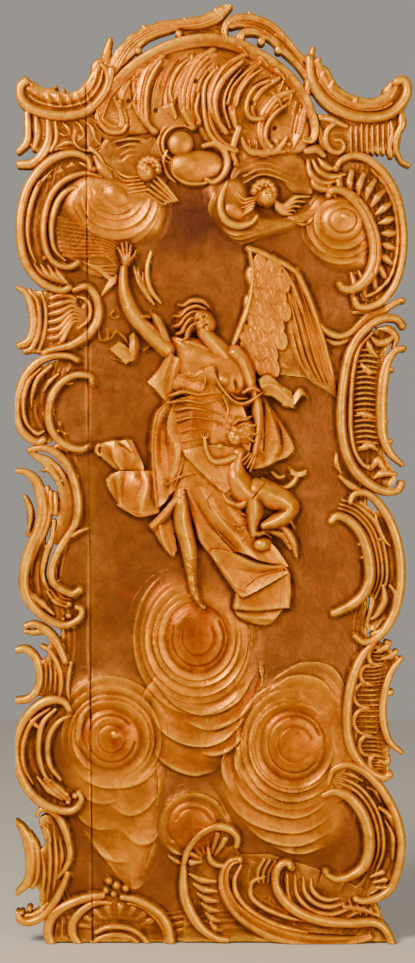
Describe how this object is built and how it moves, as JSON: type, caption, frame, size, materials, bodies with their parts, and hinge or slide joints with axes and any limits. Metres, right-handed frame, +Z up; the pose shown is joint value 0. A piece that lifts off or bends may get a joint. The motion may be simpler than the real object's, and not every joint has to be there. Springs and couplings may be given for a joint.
{
  "type": "carved relief panel with an angel",
  "caption": "Tall carved and gilded wooden relief panel: an angel and a child rise from clouds inside a shell and scroll frame with a pierced crest.",
  "frame": {"origin": "middle of the flat back face, halfway up the panel", "axes": "+Z up along the panel's height, -Y out of the carved front, +X to the right as the front is seen"},
  "size_m": [0.8467, 0.0818, 1.9999],
  "materials": {
    "gilded_wood": "carved wood with a honey-gold glaze, worn to red bole and dark in the recesses"
  },
  "bodies": {
    "root": {"left_board": "gilded_wood", "right_board": "gilded_wood"}
  },
  "joints": []
}
